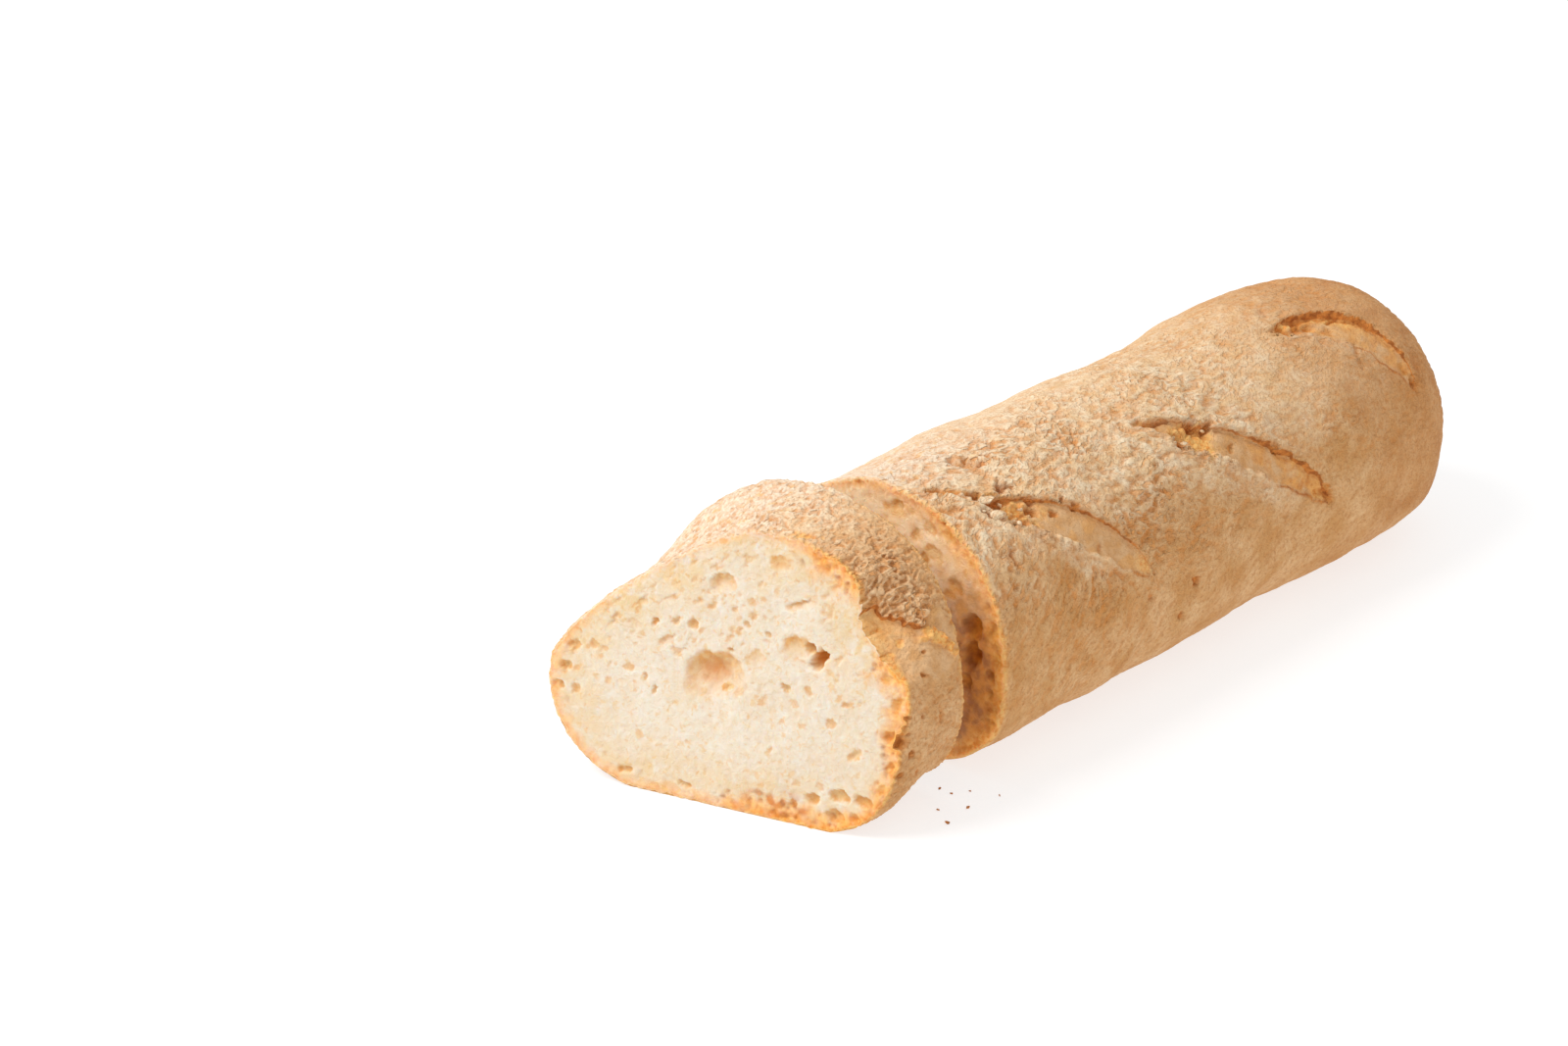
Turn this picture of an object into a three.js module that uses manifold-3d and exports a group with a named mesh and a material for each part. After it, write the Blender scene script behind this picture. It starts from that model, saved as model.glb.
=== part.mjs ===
// The rounded half of a baguette and the thick slice that was cut from it.
// Millimetres. X runs along the bread towards its rounded end, Y across it and Z up.
// The flat underside lies on Z = 0, and the origin is the middle of the space it covers.
import * as THREE from 'three';
import { mergeVertices } from 'three/addons/utils/BufferGeometryUtils.js';
import Module from 'manifold-3d';

// Driving dimensions: the loaf.
const END_X = 104.66; // tip of the rounded end
const CUT_X = -57.3; // the knife cut that parts the slice from the loaf
const AXIS_Y = -4.95; // middle line of the loaf
const HALF_WIDTH = 29.3;
const HEIGHT = 51.4;
const WIDEST_Z = 21.3; // level at which the loaf is widest
const SETTLE = 1.6; // how much of the round underside is pressed flat
const TIP_LENGTH = 29; // length over which the end rounds off
const TIP_POWER = 2.0; // 2 is an elliptic end, less is more pointed
const DROP_POWER = 0.7; // the underside of the end stays fuller than its top
const UPPER_POWER = 2.0; // superellipse powers of the section
const LOWER_POWER = 2.5;

// Driving dimensions: the slice. A stretch of bread is missing between it and the loaf.
const SLICE_X = -68.6; // its back face
const FOOT = { x: -91.9, y: -22.8 }; // near corner of its front face
const TURN = THREE.MathUtils.degToRad(15); // its front cut isn't square to the loaf
const LEAN = THREE.MathUtils.degToRad(12); // and leans back towards the loaf
const SLUMP = 4; // how far the loaf's far flank widens up to its cut
const SLUMP_POWER = 1.75; // superellipse power of its far shoulder there
const SLICE_AXIS = 4.6; // the slice's middle line lies this much further to the far side
const SLICE_WIDER = 3.8; // how much larger its half width is,
const SLICE_TALLER = 2.2; // and its height
const FRONT_LOWER = 2.8; // how much lower than that it is at its front face
const TOE = 2.6; // and how much further its far side reaches there
const SHOULDER_POWER = 1.3; // the far shoulder is nearly straight there
const HEEL_POWER = 3.6; // and the near heel is squarer than the loaf's
const NEAR_POWER = 2.25; // the near shoulder is a little squarer beside the knife cut

// Gentle swellings and waists of the loaf: place, rise of the surface, half length.
const LUMPS = [
  { x: 58, rise: 1.1, spread: 13 },
  { x: 29, rise: -0.9, spread: 14 },
  { x: -22, rise: 0.5, spread: 12 },
];

// Baker's scores. Each is a pointed slit that opened in the oven, from the place (x, angle)
// to the tip (x, angle). The far lip stands up as an ear, and the floor rises to the near lip,
// late if its fall is a high power. A bow bends it towards the far side. Where the far lip has
// no ear, its edge sinks into the score, and the score runs out before its tip.
// Angles go round the section from the far side (0) over the top (90) to the near side (180).
const MM_PER_DEGREE = 0.5;
const SCORES = [
  { from: [-99, 118], to: [-69.5, 168], bow: 0, width: 17, depth: 6.3, fall: 10, sink: 3, ear: 0 },
  { from: [-46.5, 117], to: [-13.5, 168.5], bow: 0, width: 9.2, depth: 1.3, fall: 1.5, ear: 0.8 },
  { from: [3, 118], to: [45, 177], bow: 0.5, width: 8.6, depth: 1.5, fall: 1.5, ear: 1.0 },
  { from: [53, 106], to: [79.5, 153], bow: 5, width: 10, depth: 1.5, fall: 1.5, ear: 1.0 },
];
const EAR_WIDTH = 6;
const RUN_OUT = [0.45, 0.9]; // parts of its length between which a sunk score runs out
const SCORE_STEPS = 14; // along a score
const SCORE_BANDS = 6; // and across it

// Large holes in the crumb where a cut shows them: centre across and up, half sizes.
const FRONT_HOLES = [
  { y: 3.3, z: 23.0, across: 4.6, up: 4.2, deep: 3.0 },
  { y: -15.6, z: 30.4, across: 2.4, up: 2.2, deep: 4.5 },
  { y: 3.7, z: 40.0, across: 2.6, up: 2.2, deep: 2.0 },
  { y: -7.0, z: 45.0, across: 2.6, up: 1.6, deep: 1.6 },
  { y: -10.5, z: 38.8, across: 2.6, up: 1.1, deep: 1.8 },
];
const BACK_HOLES = [
  { y: 8.0, z: 30.0, across: 4.0, up: 3.4, deep: 3.0 },
  { y: -13.0, z: 22.0, across: 3.2, up: 2.6, deep: 2.6 },
  { y: -2.0, z: 40.0, across: 3.6, up: 1.9, deep: 2.4 },
];
const LOAF_HOLES = [
  { y: -26.3, z: 24.0, across: 2.4, up: 3.2, deep: 4.0 },
  { y: -26.4, z: 32.0, across: 2.0, up: 3.0, deep: 3.0 },
  { y: -20.8, z: 42.5, across: 2.4, up: 1.8, deep: 2.4 },
  { y: -4.0, z: 27.0, across: 4.2, up: 3.4, deep: 3.4 },
  { y: 9.0, z: 34.0, across: 2.8, up: 2.2, deep: 2.6 },
];

// Fineness of the faceted surface: steps round the section and along the bread.
const NEAR_STEPS = 26; // over the scored side
const FAR_STEPS = 26; // over the rest
const NEAR_FROM = 86; // degrees
const NEAR_TO = 190;
const LOAF_STEPS = 54;
const TIP_STEPS = 11;
const SLICE_STEPS = 14;
const SHORTEST_EDGE = 0.02; // mm

const { clamp, lerp, smoothstep, degToRad } = THREE.MathUtils;

const wasm = await Module();
wasm.setup();

// --- The surface of the uncut bread -----------------------------------------------------

/** Middle line, widths, height and powers of the section at x. */
function sectionAt(x) {
  const along = clamp((x - END_X + TIP_LENGTH) / TIP_LENGTH, 0, 1);
  const round = (1 - along ** TIP_POWER) ** (1 / TIP_POWER);
  const lump = LUMPS.reduce((sum, l) => sum + l.rise * Math.exp(-(((x - l.x) / l.spread) ** 2)), 0);
  const slump = smoothstep(-x, 5, 57);
  const swell = smoothstep(-x, 54, 72);
  const front = smoothstep(-x, 70, 90);
  const halfWidth = HALF_WIDTH + SLICE_WIDER * swell + lump;
  const slumped = slump * (1 - swell);
  return {
    axis: AXIS_Y + SLICE_AXIS * swell,
    far: (halfWidth + SLUMP * slumped + TOE * front) * round,
    near: halfWidth * round,
    rise: (HEIGHT - WIDEST_Z + SLICE_TALLER * swell - FRONT_LOWER * front + lump) * round,
    drop: (WIDEST_Z + SETTLE) * round ** DROP_POWER,
    shoulderPower: lerp(lerp(UPPER_POWER, SLUMP_POWER, slumped), SHOULDER_POWER, front),
    nearPower: lerp(UPPER_POWER, NEAR_POWER, slump * (1 - front)),
    heelPower: lerp(LOWER_POWER, HEEL_POWER, front),
  };
}

/** A score's own coordinates of the place at x and angle: how far along it, and across in mm. */
function placeInScore({ from, to, bow }, x, angle) {
  const run = [to[0] - from[0], (to[1] - from[1]) * MM_PER_DEGREE];
  const dx = x - from[0];
  const ds = (angle - from[1]) * MM_PER_DEGREE;
  const square = run[0] ** 2 + run[1] ** 2;
  const along = (dx * run[0] + ds * run[1]) / square;
  const across = (ds * run[0] - dx * run[1]) / Math.sqrt(square);
  return { along, across: across + bow * 4 * along * (1 - along) };
}

/** How wide open a score is at a part of its length, from 0 to 1. */
function openingAt(along) {
  return along > 0 && along < 1 ? (4 * along * (1 - along)) ** 0.6 : 0;
}

/** How far the ears of the scores stand up at x and angle. */
function earRise(x, angle) {
  return SCORES.reduce((sum, score) => {
    const { along, across } = placeInScore(score, x, angle);
    const opening = openingAt(along);
    const beyond = (Math.abs(across + (score.width / 2) * opening)) / EAR_WIDTH;
    return beyond < 1 ? sum + score.ear * opening * (1 - beyond) ** 2 : sum;
  }, 0);
}

/** Point at x and angle (degrees), raised above the skin of the bread by lift. */
function skinPoint(x, angle, lift = 0) {
  const section = sectionAt(x);
  const c = Math.cos(degToRad(angle));
  const s = Math.sin(degToRad(angle));
  const isFar = c > 0;
  const isUpper = s > 0;
  const upperPower = isFar ? section.shoulderPower : section.nearPower;
  const lowerPower = isFar ? LOWER_POWER : section.heelPower;
  const power = 2 / (isUpper ? upperPower : lowerPower);
  const y = (isFar ? section.far : section.near) * Math.sign(c) * Math.abs(c) ** power;
  const z = (isUpper ? section.rise : section.drop) * Math.sign(s) * Math.abs(s) ** power;
  const scale = 1 + (earRise(x, angle) + lift) / Math.max(Math.hypot(y, z), 1);
  return new THREE.Vector3(x, section.axis + y * scale, Math.max(0, WIDEST_Z + z * scale));
}

/** x of the slice's front face at (y, z). */
function frontFaceX(y, z) {
  return FOOT.x - (y - FOOT.y) * Math.tan(TURN) + (z * Math.tan(LEAN)) / Math.cos(TURN);
}

/** Point at which the skin meets the slice's front face. */
function frontEdgePoint(angle) {
  const point = new THREE.Vector3(FOOT.x, 0, 0);
  for (let i = 0; i < 12; i++) {
    point.copy(skinPoint(point.x, angle));
    point.x = frontFaceX(point.y, point.z);
  }
  return point;
}

/** Angles round the section, closer together on the scored side. */
function ringAngles() {
  const near = Array.from({ length: NEAR_STEPS }, (_, i) => lerp(NEAR_FROM, NEAR_TO, i / NEAR_STEPS));
  const far = Array.from({ length: FAR_STEPS }, (_, i) => lerp(NEAR_TO, NEAR_FROM + 360, i / FAR_STEPS));
  return [...near, ...far];
}

// --- Closed meshes ----------------------------------------------------------------------

/** Closed mesh through closed rings of points, with one point at each end. */
function skinMesh(rings, first, last) {
  const count = rings[0].length;
  const points = [...rings.flat(), first, last];
  const firstIndex = points.length - 2;
  const lastIndex = points.length - 1;
  const lastRing = (rings.length - 1) * count;
  const faces = [];
  for (let k = 0; k < count; k++) {
    const next = (k + 1) % count;
    faces.push(firstIndex, next, k, lastIndex, lastRing + k, lastRing + next);
    for (let a = 0; a < lastRing; a += count) {
      const b = a + count;
      faces.push(a + k, a + next, b + next, a + k, b + next, b + k);
    }
  }
  const geometry = new THREE.BufferGeometry();
  geometry.setAttribute('position', new THREE.Float32BufferAttribute(points.flatMap((p) => p.toArray()), 3));
  geometry.setIndex(faces);
  return geometry;
}

/** Solid made of a closed three.js geometry. */
function solidOf(geometry) {
  const bare = geometry.clone();
  bare.deleteAttribute('normal');
  bare.deleteAttribute('uv');
  const merged = mergeVertices(bare, 1e-4);
  const vertProperties = new Float32Array(merged.attributes.position.array);
  const triVerts = new Uint32Array(merged.index.array);
  return new wasm.Manifold(new wasm.Mesh({ numProp: 3, vertProperties, triVerts }));
}

/** three.js geometry of a solid, without edges too short to matter. */
function geometryOf(solid) {
  const mesh = solid.simplify(SHORTEST_EDGE).getMesh();
  const geometry = new THREE.BufferGeometry();
  geometry.setAttribute('position', new THREE.BufferAttribute(mesh.vertProperties, 3));
  geometry.setIndex(new THREE.BufferAttribute(mesh.triVerts, 1));
  geometry.computeVertexNormals();
  return geometry;
}

/** The space inside a score: its floor lies in the bread and its lid well outside. */
function scoreSpace(score) {
  const { from, to, bow, width, depth, fall, sink } = score;
  const lid = 6;
  const lip = 0.35; // height of the near lip
  const run = [to[0] - from[0], (to[1] - from[1]) * MM_PER_DEGREE];
  const length = Math.hypot(...run);
  const pointAt = (along, offset, lift) => {
    const across = offset - bow * 4 * along * (1 - along);
    const x = from[0] + run[0] * along - (run[1] / length) * across;
    const s = run[1] * along + (run[0] / length) * across;
    return skinPoint(x, from[1] + s / MM_PER_DEGREE, lift);
  };
  const rings = [];
  for (let i = 1; i < SCORE_STEPS; i++) {
    const along = (1 - Math.cos((Math.PI * i) / SCORE_STEPS)) / 2;
    const opening = openingAt(along);
    const deep = sink ? depth * (1 - smoothstep(along, ...RUN_OUT)) : depth;
    const floor = [];
    const top = [];
    for (let j = 0; j <= SCORE_BANDS; j++) {
      const part = j / SCORE_BANDS;
      const offset = (part - 0.5) * width * opening;
      const farSide = sink ? 1 - (1 - part) ** sink : 1;
      floor.unshift(pointAt(along, offset, -lip - deep * opening * farSide * (1 - part ** fall)));
      top.push(pointAt(along, offset, lid));
    }
    rings.push([...floor, ...top]);
  }
  return solidOf(skinMesh(rings, pointAt(0, 0, lid / 2), pointAt(1, 0, lid / 2)));
}

/** The solid with its scores opened. */
function scored(solid) {
  return SCORES.reduce((result, score) => result.subtract(scoreSpace(score)), solid);
}

/** The solid with a rounded hole at each place; faceX gives the cut face's x at (y, z). */
function withHoles(solid, holes, faceX) {
  return holes.reduce((result, { y, z, across, up, deep }) => {
    const hole = new THREE.IcosahedronGeometry(1, 1);
    hole.scale(deep, across, up);
    hole.translate(faceX(y, z), y, z);
    return result.subtract(solidOf(hole));
  }, solid);
}

// --- The two pieces ---------------------------------------------------------------------

const angles = ringAngles();
const ringAt = (x) => angles.map((angle) => skinPoint(x, angle));

function loafGeometry() {
  const tipStart = END_X - TIP_LENGTH;
  const rings = [];
  for (let i = 0; i <= LOAF_STEPS; i++) {
    rings.push(ringAt(lerp(CUT_X, tipStart, i / LOAF_STEPS)));
  }
  for (let i = 1; i < TIP_STEPS; i++) {
    rings.push(ringAt(tipStart + TIP_LENGTH * Math.sin((Math.PI / 2) * (i / TIP_STEPS))));
  }
  const cutCentre = new THREE.Vector3(CUT_X, AXIS_Y, WIDEST_Z);
  const tip = new THREE.Vector3(END_X, AXIS_Y, WIDEST_Z);
  const whole = solidOf(skinMesh(rings, cutCentre, tip));
  return geometryOf(withHoles(scored(whole), LOAF_HOLES, () => CUT_X));
}

function sliceGeometry() {
  const edge = angles.map(frontEdgePoint);
  const rings = [edge];
  for (let i = 1; i <= SLICE_STEPS; i++) {
    rings.push(angles.map((angle, k) => skinPoint(lerp(edge[k].x, SLICE_X, i / SLICE_STEPS), angle)));
  }
  const frontCentre = new THREE.Vector3(frontFaceX(AXIS_Y, WIDEST_Z), AXIS_Y, WIDEST_Z);
  const backCentre = new THREE.Vector3(SLICE_X, AXIS_Y, WIDEST_Z);
  const whole = scored(solidOf(skinMesh(rings, frontCentre, backCentre)));
  return geometryOf(withHoles(withHoles(whole, FRONT_HOLES, frontFaceX), BACK_HOLES, () => SLICE_X));
}

const crust = new THREE.MeshStandardMaterial({ color: '#d8b58a', roughness: 0.9, metalness: 0 });
const crumb = new THREE.MeshStandardMaterial({ color: '#f0dfc3', roughness: 0.85, metalness: 0 });

const baguette = new THREE.Group();

const loaf = new THREE.Mesh(loafGeometry(), crust);
loaf.name = 'loaf';
baguette.add(loaf);

const slice = new THREE.Mesh(sliceGeometry(), crumb);
slice.name = 'slice';
baguette.add(slice);

export default baguette;
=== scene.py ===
"""Looks of the baguette: a crusty, floury loaf end and the thick slice cut from it.

Lengths are in millimetres until a mesh is made. X runs along the bread towards its rounded end,
Y away from the scored side and Z up. Angles go round the section in degrees: far side 0, top 90,
scored near side 180, underside 270. A share is a value for each point, mostly from 0 to 1, that the
materials read as an attribute of the mesh. The last argument of noise, fractal and nearest is a seed.
"""
import math

import bmesh
import bpy
import numpy as np
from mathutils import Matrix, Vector
from mathutils.geometry import delaunay_2d_cdt


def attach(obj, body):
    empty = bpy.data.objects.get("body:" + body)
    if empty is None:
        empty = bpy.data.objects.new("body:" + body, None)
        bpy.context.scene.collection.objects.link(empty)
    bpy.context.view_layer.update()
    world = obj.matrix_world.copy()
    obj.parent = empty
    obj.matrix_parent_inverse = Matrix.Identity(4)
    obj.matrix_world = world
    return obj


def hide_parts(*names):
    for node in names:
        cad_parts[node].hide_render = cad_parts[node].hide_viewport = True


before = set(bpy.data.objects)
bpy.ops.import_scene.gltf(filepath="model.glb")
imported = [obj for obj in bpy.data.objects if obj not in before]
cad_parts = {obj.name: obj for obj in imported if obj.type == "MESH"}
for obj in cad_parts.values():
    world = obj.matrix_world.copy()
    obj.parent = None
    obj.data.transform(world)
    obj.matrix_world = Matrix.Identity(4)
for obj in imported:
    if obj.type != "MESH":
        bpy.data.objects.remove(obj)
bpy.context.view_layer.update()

MM = 0.001

# --- Driving dimensions of the bread, as in its solids ---
END_X, CUT_X, SLICE_X = 104.66, -57.3, -68.6
AXIS_Y, HALF_WIDTH, HEIGHT, WIDEST_Z, SETTLE = -4.95, 29.3, 51.4, 21.3, 1.6
TIP_LENGTH, TIP_POWER, DROP_POWER, UPPER_POWER, LOWER_POWER = 29.0, 2.0, 0.7, 2.0, 2.5
FOOT_X, FOOT_Y, TURN, LEAN = -91.9, -22.8, math.radians(15), math.radians(12)
SLUMP, SLUMP_POWER, SLICE_AXIS, SLICE_WIDER, SLICE_TALLER = 4.0, 1.75, 4.6, 3.8, 2.2
FRONT_LOWER, TOE, SHOULDER_POWER, HEEL_POWER, NEAR_POWER = 2.8, 2.6, 1.3, 3.6, 2.25
LUMPS = [(58, 1.1, 13), (29, -0.9, 14), (-22, 0.5, 12)]  # place, rise, half length
MM_PER_DEGREE = 0.5
# Scores: start (x, angle), tip (x, angle), bow, width, depth
SCORES = {
    "slice": ((-99, 118), (-69.5, 168), 0, 17, 6.3),
    "a": ((-46.5, 117), (-13.5, 168.5), 0, 9.2, 1.3),
    "b": ((3, 118), (45, 177), 0.5, 8.6, 1.5),
    "c": ((53, 106), (79.5, 153), 5, 10, 1.5),
}
LATE_RISE, SUNK_EDGE = 10, 3  # powers of the sunk score's floor towards its near and its far edge
RUN_OUT = (0.45, 0.9)  # parts of its length between which the sunk score runs out

# --- Dressing of the scores ---
EAR_WIDTH, FAR_OFF = 6.0, 9.0  # FAR_OFF stands for no edge near
# Of each open score: raggedness and softness of its edges and lift of its ear in mm, then shares that
# change along its length: raised near lip (share, rising from, to, falling from, to), torn far edge with
# painted shadow under the ear (start, gain, from, to), singed near edge and toasted floor (share, from, to)
OPEN_SCORES = {
    "a": (0.35, 0.4, 0.4, (1, 0.3, 0.45, 0.8, 0.88), (0.6, 0, 0, 1), (0.9, 0.82, 0.92), (0, 0, 1)),
    "b": (
        0.7, 0.6, 0.5, (1, 0.26, 0.36, 0.56, 0.72), (0.45, 1.1, 0.45, 0.65), (1, 0.52, 0.68), (1, 0.42, 0.62),
    ),
    "c": (0.5, 0.9, 0.5, (0, 0, 1, 1, 2), (1.3, 0, 0, 1), (0.8, 0.4, 0.6), (0.7, 0.3, 0.5)),
}
# The floury flap that hangs into the slice's sunk side: its edge, as (part along the score, mm across)
FLAP_EDGE = (
    (0.3, -8.6), (0.4, -6), (0.42, -5.1), (0.55, -3.6), (0.66, -2.6), (0.71, -1.8), (0.75, -2.2),
    (0.765, -5.4), (0.78, -8.6),
)
# Marks on the crust: (x, angle, half length, half width, turn, depth, brown, gold); a negative depth
# stands up
LOAF_MARKS = [
    (-39.4, 98.1, 3.2, 2.2, 20, 1.3, 0.35, 0.25), (-47.9, 109.4, 8.2, 0.5, 31, 0.5, 0.45, 0.9),
    (-51.8, 104.6, 2.6, 0.65, 31, 0.8, 0.7, 0.9), (-46.1, 113.3, 1.7, 1.3, 30, 2.2, 0.9, 0.5),
    (-43.2, 119, 2.3, 1.6, 20, 2.2, 0.9, 0.5), (-47, 122.3, 1, 1.7, 0, 1.7, 0.8, 0.5),
    (-38.9, 115.4, 1.8, 1.5, 0, 2, 0.8, 0.4), (-41.1, 125.9, 2.8, 2.4, 0, 0.8, 0, 1),
    (-40.7, 131.9, 1.9, 1.2, 50, 1.5, 0.8, 0.6), (-37.1, 129.2, 1.5, 1.2, 30, 1.3, 0.8, 0.5),
    (-34.5, 100.5, 2.2, 0.7, 70, 0.6, 0.4, 0.3), (-29.6, 130.6, 0.8, 0.8, 0, 0.9, 0.9, 0.4),
    (-27.3, 134.6, 1.1, 0.8, 40, 0.8, 0.9, 0.3), (14.6, 126.6, 1.8, 1.4, 50, 1.9, 0.9, 0.5),
    (18.4, 129.5, 1.3, 1.2, 0, 1.7, 0.9, 0.5), (8.3, 130.6, 1.5, 2, 10, 2, 0.9, 0.5),
    (13.4, 132, 4.6, 3.6, 40, 0.7, 0, 1), (3.5, 118, 4, 0.9, 25, 0.9, 0.5, 0.8),
    (32.6, 149, 2.1, 1, 70, 1.2, 0.8, 0.3), (20.5, 140.5, 1.3, 1.1, 0, 0.7, 0.5, 0.6),
    (43.9, 174.2, 2.4, 1, 60, 1, 0.7, 0.9), (41.6, 171.8, 1.5, 0.8, 30, 0.6, 0.4, 0.9),
    (54.6, 108.6, 2.6, 1.7, 30, 1.5, 0.6, 1), (60.5, 111.5, 2.6, 1.2, 20, 1, 0.3, 1),
    (68.5, 113.5, 2.2, 0.9, 10, 0.8, 0.9, 0.3), (64, 116.5, 1.6, 1.4, 10, 0.5, 0.5, 0.5),
    (79, 150, 2.4, 0.9, 80, 0.9, 0.9, 0.3), (77.4, 143.5, 1.6, 1.2, 80, 0.5, 0.5, 0.8),
    (-12.4, 169.9, 1.9, 0.45, 60, 0.5, 0.9, 0), (0.4, 180.4, 1.4, 0.9, 20, 0.8, 0.8, 0.2),
    (-14.2, 177.2, 1.2, 0.7, 0, 0.5, 0.6, 0), (-3.1, 192.5, 0.8, 1.2, 0, 0.6, 0.7, 0),
    (-48.4, 143, 0.55, 2.4, 0, 0.7, 0.8, 0), (-33, 133.5, 1.4, 0.8, 40, 0.8, 0.8, 0.2),
    (36.5, 160, 1.8, 2.4, 0, -0.4, 0, 0.3), (-26, 152, 0.5, 1.5, 30, 0.4, 0.5, 0),
    (66, 132, 0.9, 3.2, 30, 0.5, 0.35, 0.1), (55.5, 96, 1.2, 1.8, 20, 0.6, 0.35, 0),
    (84, 143, 2.6, 3.2, 20, 0.4, 0.3, 0),
]
SLICE_MARKS = [
    (-73.6, 157.6, 2, 1.3, 44, -0.6, 0.1, 1), (-75.1, 155.2, 1.2, 1, 0, -0.4, 0.1, 1),
    (-71.2, 161.8, 0.9, 1, 0, -0.8, 0, 1), (-83.6, 135.8, 0.9, 0.8, 0, 0.6, 0, 1),
    (-82.9, 150.8, 0.6, 0.6, 0, 0.5, 0, 0.9), (-78.2, 166.3, 1.2, 0.7, 45, 0.8, 0.6, 0.6),
    (-81.6, 145, 0.5, 0.5, 0, 0.4, 0, 0.9), (-76.9, 159.8, 0.7, 0.5, 0, 0.5, 0.7, 0.4),
    (-82, 156, 0.8, 0.6, 30, 0.3, 0.2, 0.8), (-79.6, 153.5, 1, 0.8, 40, 0.2, 0, 0.8),
    (-84.7, 181, 1.3, 1.1, 0, 1.6, 0.9, 0.7), (-83.5, 176.5, 0.7, 0.8, 0, 0.8, 0.7, 0.6),
    (-84.2, 171, 0.7, 0.7, 0, 0.8, 0.7, 0.7), (-82.4, 186, 0.9, 0.7, 30, 0.7, 0.7, 0.4),
    (-84.6, 192, 1, 0.9, 0, 1, 0.8, 0.6), (-80, 178.5, 0.6, 0.5, 0, 0.5, 0.6, 0.2),
    (-79.5, 200, 1.4, 0.6, 70, 0.6, 0.6, 0.3), (-74.6, 181.5, 0.8, 0.7, 0, 0.4, 0.4, 0.2),
    (-83, 103.5, 3, 1, 60, 0.3, 0, 0.9), (-72.4, 158.2, 1.4, 0.7, 100, -0.7, 0.1, 1),
    (-76, 156.2, 1.3, 0.6, 10, -0.5, 0.2, 0.9), (-70.4, 164.6, 1.2, 0.6, 20, -0.5, 0.1, 0.9),
]
# Bubbles of the cut faces: (y, z, half width, half height, turn, depth), where the turn is in radians.
# A sharp one has a steep edge; a shaded one is deeper under its upper edge, where its painted shade also
# gathers.
LOAF_BUBBLES = {
    "sharp": [
        (-26.3, 29, 2.4, 3, 0, 3.2), (-26.4, 23.8, 2.2, 3, 0.2, 4), (-20.9, 45.1, 1.8, 1, 0.6, 1),
        (-32, 24.2, 0.8, 1.2, 0, 1.6), (-30.8, 21.1, 0.8, 1.2, 0, 1.6), (-25.4, 18.3, 1.4, 1.6, 0, 1.8),
        (-30.6, 17.3, 0.8, 1, 0, 1.4),
    ],
    "soft": [
        (-17.4, 41.3, 2.6, 1.6, 0.5, 1), (-22.7, 36.3, 2.2, 1.6, 0.4, 1.1), (-7.8, 47.3, 3, 1.2, 0.2, 0.9),
        (-4, 27, 4.2, 3.4, 0.1, 2.8), (9, 34, 2.8, 2.2, 0.2, 2.2),
    ],
}
FRONT_BUBBLES = {
    "soft shaded": [
        (3.2, 22.7, 6.5, 5.6, 0, 3.6), (-11.4, 31, 3.2, 2.8, 0, 1.4), (-6.6, 45.6, 2.8, 1.5, 0.2, 1.2),
        (-3.9, 27.9, 2.2, 1.9, 0, 0.8), (13.7, 27.6, 2, 1.1, -0.6, 0.8),
    ],
    "sharp": [
        (0.9, 21.8, 1.3, 0.8, -0.3, 1.9), (-15.6, 30.2, 1.3, 2.3, 0.6, 3.6), (-13.6, 31.6, 1.4, 1.2, 0, 2.2),
        (15.9, 30.8, 1.1, 0.7, -0.7, 1.2), (8.9, 31.9, 1.1, 1, -0.3, 1.1), (0.9, 28.6, 0.7, 0.6, 0, 0.9),
        (-1.3, 33.7, 0.7, 0.5, 0, 0.8), (-5.4, 32.8, 0.6, 0.5, 0, 0.8), (-10.2, 24, 1, 0.8, 0.5, 1.2),
        (16.6, 20.8, 0.5, 0.8, 0, 0.8), (14.5, 18.8, 0.5, 0.9, 0.4, 0.9), (31.2, 23.7, 1.3, 1.1, 0, 1.2),
        (32, 19.7, 1.3, 1, 0, 1.3), (33.1, 15.9, 1.2, 1, 0, 1.2), (29.7, 15.7, 0.9, 1.1, 0.3, 0.9),
        (27, 24.6, 1, 0.8, 0.4, 0.7), (-28.6, 29.2, 1.2, 0.9, 0, 0.9), (-31.2, 25, 1.1, 1.4, 0, 1.1),
        (-30.6, 19.2, 1.6, 1.2, 0.2, 1.9), (-31.6, 13.9, 1, 1, 0, 1.2), (-31, 9.8, 0.8, 0.9, 0, 1),
        (-23.2, 6.8, 2.2, 1.3, 0.1, 1.5), (-28, 6.6, 2.4, 1.2, 0.3, 1.6), (-18.3, 5.2, 1.6, 1, 0, 1.3),
        (-23, 3, 2, 1.2, 0.3, 1.8), (-27.2, 3, 1.6, 0.9, 0.3, 1.4), (-14.5, 3.6, 1.2, 0.8, 0, 1),
        (28, 4, 1.8, 1, 0.2, 1.3), (18, 3, 1.6, 0.9, 0, 1.2), (6, 2.6, 1.4, 0.8, 0, 1),
    ],
    "sharp shaded": [
        (4.2, 39.9, 2.7, 2.1, -0.4, 1.7), (-11, 39.2, 3.2, 1, -0.3, 1.2),
    ],
    "soft": [
        (12.1, 31.8, 0.9, 0.7, 0, 0.7), (-2.2, 35.6, 0.9, 0.6, 0, 0.6), (20, 21.7, 1.2, 0.8, 0, 0.7),
        (23.6, 30.5, 1.3, 0.7, -0.3, 0.7), (19, 34.2, 1, 0.6, -0.6, 0.7), (6, 35.8, 1.2, 0.6, -0.5, 0.6),
        (-22.2, 23.4, 1, 0.7, 0.5, 0.6), (-19.5, 19.4, 1.3, 0.9, 0.6, 0.7), (-24.8, 14.8, 1.6, 1, -0.6, 0.9),
    ],
}
BACK_BUBBLES = {
    "soft": [
        (8, 30, 4, 3.4, 0.2, 2.6), (-13, 22, 3.2, 2.6, 0, 2.2), (-2, 40, 3.6, 1.9, 0.1, 2),
    ],
}
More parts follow.
